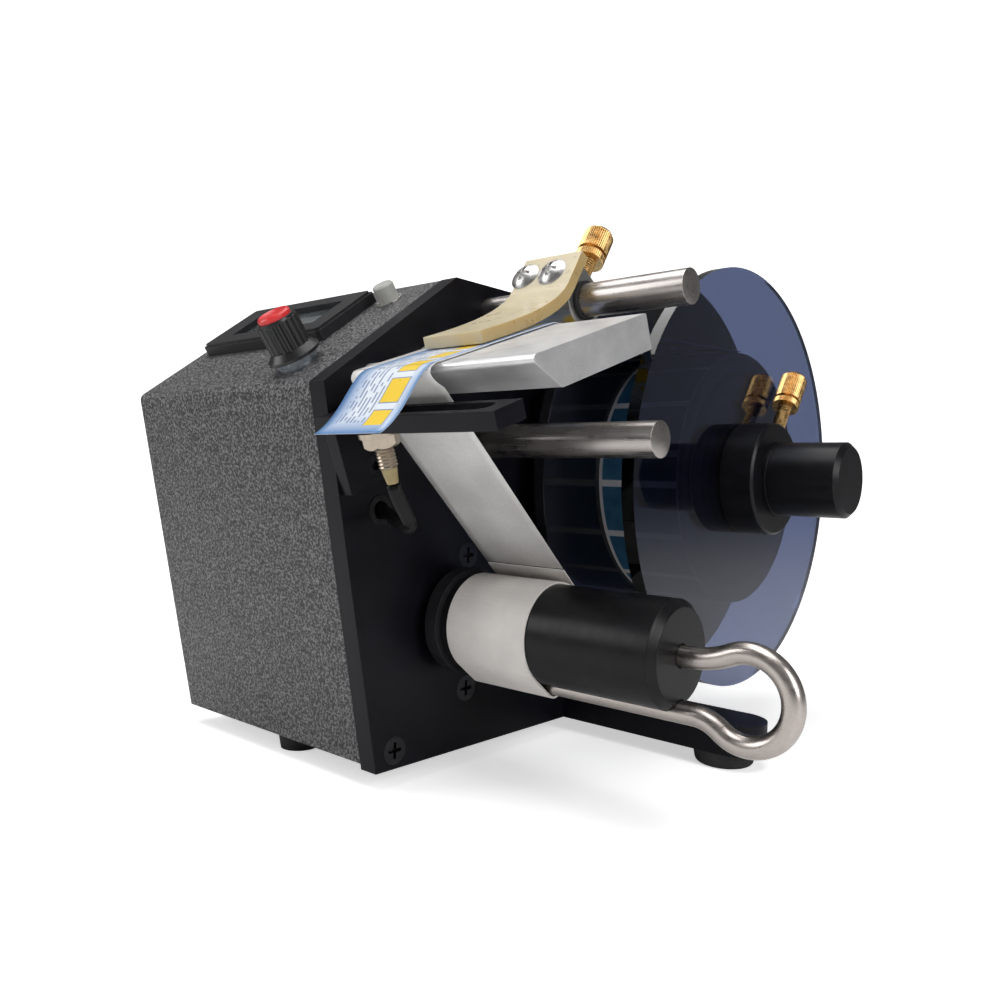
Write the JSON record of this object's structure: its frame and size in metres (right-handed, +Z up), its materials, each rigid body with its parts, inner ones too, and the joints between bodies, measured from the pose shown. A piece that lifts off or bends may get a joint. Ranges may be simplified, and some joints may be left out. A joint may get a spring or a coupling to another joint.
{
  "type": "electric label dispenser",
  "caption": "Bench-top electric label dispenser: sheet-metal drive housing with a side plate carrying a label reel, peel block with hold-down blade, label sensor and take-up roller.",
  "frame": {"origin": "middle of the bounding box's underside, where the feet stand", "axes": "+X outward along the reel shaft, from the housing through the side plate to the reel side; +Y to the back of the machine; +Z up"},
  "size_m": [0.2094, 0.244, 0.1667],
  "materials": {
    "side_plate": "black anodised plate, satin",
    "housing_shell": "grey hammertone paint",
    "base_pan": "plain galvanised sheet",
    "housing_feet": "moulded rubber",
    "bar_foot": "moulded rubber",
    "foot_screws": "zinc plated",
    "base_bar": "black anodised bar, satin",
    "inside_screws": "black oxide",
    "housing_screws": "black oxide",
    "motor_screws": "black oxide",
    "upper_rod": "ground stainless",
    "lower_rod": "ground stainless",
    "rod_ring": "moulded rubber",
    "peel_block": "satin aluminium",
    "clamp_block": "satin aluminium",
    "clamp_thumbscrew": "knurled brass",
    "hold_down_blade": "cast polyurethane, translucent amber",
    "blade_screws": "nickel plated",
    "sensor_bracket": "black anodised",
    "bracket_screw": "black oxide",
    "sensor_barrel": "turned thread",
    "sensor_nuts": "nickel plated",
    "sensor_potting": "cast epoxy",
    "sensor_cable": "black cable jacket",
    "cable_grommet": "moulded rubber",
    "counter_bezel": "fine texture",
    "counter_lens": "clear smoked window",
    "counter_display": "grey reflective display",
    "counter_body": "fine texture",
    "pot_body": "plated case",
    "pot_nut": "bright nickel",
    "pot_shaft": "turned steel",
    "knob": "ribbed moulding",
    "knob_cap": "red moulding",
    "button_body": "nickel plated bush",
    "button_cap": "light grey moulding",
    "bearing_hub": "turned aluminium",
    "reel_bearings": "ground steel",
    "reel_shaft": "black anodised, turned",
    "brake_pad": "felt",
    "brake_plate": "turned steel",
    "brake_spring": "spring steel",
    "inner_disc": "polished black",
    "roll_core": "spiral-wound card",
    "label_roll": "wound paper labels",
    "outer_flange": "clear smoked acrylic, polished",
    "hub_collar": "black anodised, turned",
    "collar_thumbscrew": "knurled brass",
    "gearmotor": "die-cast gearbox and plated motor can",
    "roller_shaft": "ground steel",
    "roller_bushing": "sintered bronze",
    "take_up_roller": "black anodised, satin",
    "roller_flange": "turned black plastic",
    "wire_clip": "bent stainless wire",
    "paper_web": "coated paper labels and liner",
    "wound_liner": "wound liner paper",
    "control_board": "green circuit board with parts",
    "power_inlet": "moulded socket",
    "switch_body": "moulded frame",
    "switch_rocker": "moulded rocker"
  },
  "bodies": {
    "frame": {"side_plate": "side_plate", "housing_shell": "housing_shell", "base_pan": "base_pan", "housing_feet": "housing_feet", "bar_foot": "bar_foot", "foot_screws": "foot_screws", "base_bar": "base_bar", "inside_screws": "inside_screws", "housing_screws": "housing_screws", "motor_screws": "motor_screws", "upper_rod": "upper_rod", "lower_rod": "lower_rod", "rod_ring": "rod_ring", "peel_block": "peel_block", "sensor_bracket": "sensor_bracket", "bracket_screw": "bracket_screw", "sensor_cable": "sensor_cable", "cable_grommet": "cable_grommet", "counter_bezel": "counter_bezel", "counter_lens": "counter_lens", "counter_display": "counter_display", "counter_body": "counter_body", "pot_body": "pot_body", "pot_nut": "pot_nut", "button_body": "button_body", "bearing_hub": "bearing_hub", "reel_bearings": "reel_bearings", "brake_pad": "brake_pad", "gearmotor": "gearmotor", "roller_bushing": "roller_bushing", "paper_web": "paper_web", "control_board": "control_board", "power_inlet": "power_inlet", "switch_body": "switch_body"},
    "reel": {"reel_shaft": "reel_shaft", "brake_plate": "brake_plate", "brake_spring": "brake_spring", "inner_disc": "inner_disc", "roll_core": "roll_core", "label_roll": "label_roll"},
    "flange": {"outer_flange": "outer_flange", "hub_collar": "hub_collar"},
    "collar_screw": {"collar_thumbscrew": "collar_thumbscrew"},
    "take_up": {"roller_shaft": "roller_shaft", "take_up_roller": "take_up_roller", "roller_flange": "roller_flange", "wound_liner": "wound_liner"},
    "clip": {"wire_clip": "wire_clip"},
    "speed_knob": {"pot_shaft": "pot_shaft", "knob": "knob", "knob_cap": "knob_cap"},
    "button": {"button_cap": "button_cap"},
    "clamp": {"clamp_block": "clamp_block", "hold_down_blade": "hold_down_blade", "blade_screws": "blade_screws"},
    "clamp_screw": {"clamp_thumbscrew": "clamp_thumbscrew"},
    "sensor": {"sensor_barrel": "sensor_barrel", "sensor_nuts": "sensor_nuts", "sensor_potting": "sensor_potting"},
    "rocker": {"switch_rocker": "switch_rocker"}
  },
  "joints": [
    {"name": "reel_spin", "type": "hinge", "parent": "frame", "child": "reel", "pos_m": [-0.005, 0.04657, 0.09135], "axis": [1, 0, 0], "continuous": true},
    {"name": "flange_slide", "type": "slide", "parent": "reel", "child": "flange", "axis": [1, 0, 0], "range_m": [0, 0.022]},
    {"name": "collar_screw_turn", "type": "hinge", "parent": "flange", "child": "collar_screw", "pos_m": [0.0454, 0.04657, 0.09135], "axis": [0, 0.5736, 0.8192], "range_deg": [-180, 180]},
    {"name": "take_up_spin", "type": "hinge", "parent": "frame", "child": "take_up", "pos_m": [-0.005, -0.05683, 0.0465], "axis": [1, 0, 0], "continuous": true},
    {"name": "clip_slide", "type": "slide", "parent": "take_up", "child": "clip", "axis": [1, 0, 0], "range_m": [0, 0.03]},
    {"name": "knob_turn", "type": "hinge", "parent": "frame", "child": "speed_knob", "pos_m": [-0.029, -0.09701, 0.1202], "axis": [0, -0.5947, 0.804], "range_deg": [-140, 140]},
    {"name": "button_press", "type": "slide", "parent": "frame", "child": "button", "axis": [0, 0.5947, -0.804], "range_m": [0, 0.002], "stiffness_N_per_m": 800},
    {"name": "clamp_swing", "type": "hinge", "parent": "frame", "child": "clamp", "pos_m": [-0.005, -0.04274, 0.1404], "axis": [-1, 0, 0], "range_deg": [0, 50]},
    {"name": "clamp_screw_turn", "type": "hinge", "parent": "clamp", "child": "clamp_screw", "pos_m": [0.0262, -0.04274, 0.1404], "axis": [0, 0.515, 0.8572], "range_deg": [-180, 180]},
    {"name": "sensor_slide", "type": "slide", "parent": "frame", "child": "sensor", "axis": [1, 0, 0], "range_m": [-0.003, 0.03]},
    {"name": "rocker_press", "type": "hinge", "parent": "frame", "child": "rocker", "pos_m": [-0.0405, 0.07937, 0.0305], "axis": [-1, 0, 0], "range_deg": [0, 18]}
  ],
  "couplings": [
    {"joint": "take_up_spin", "follows": "reel_spin", "ratio": -3.0759}
  ]
}
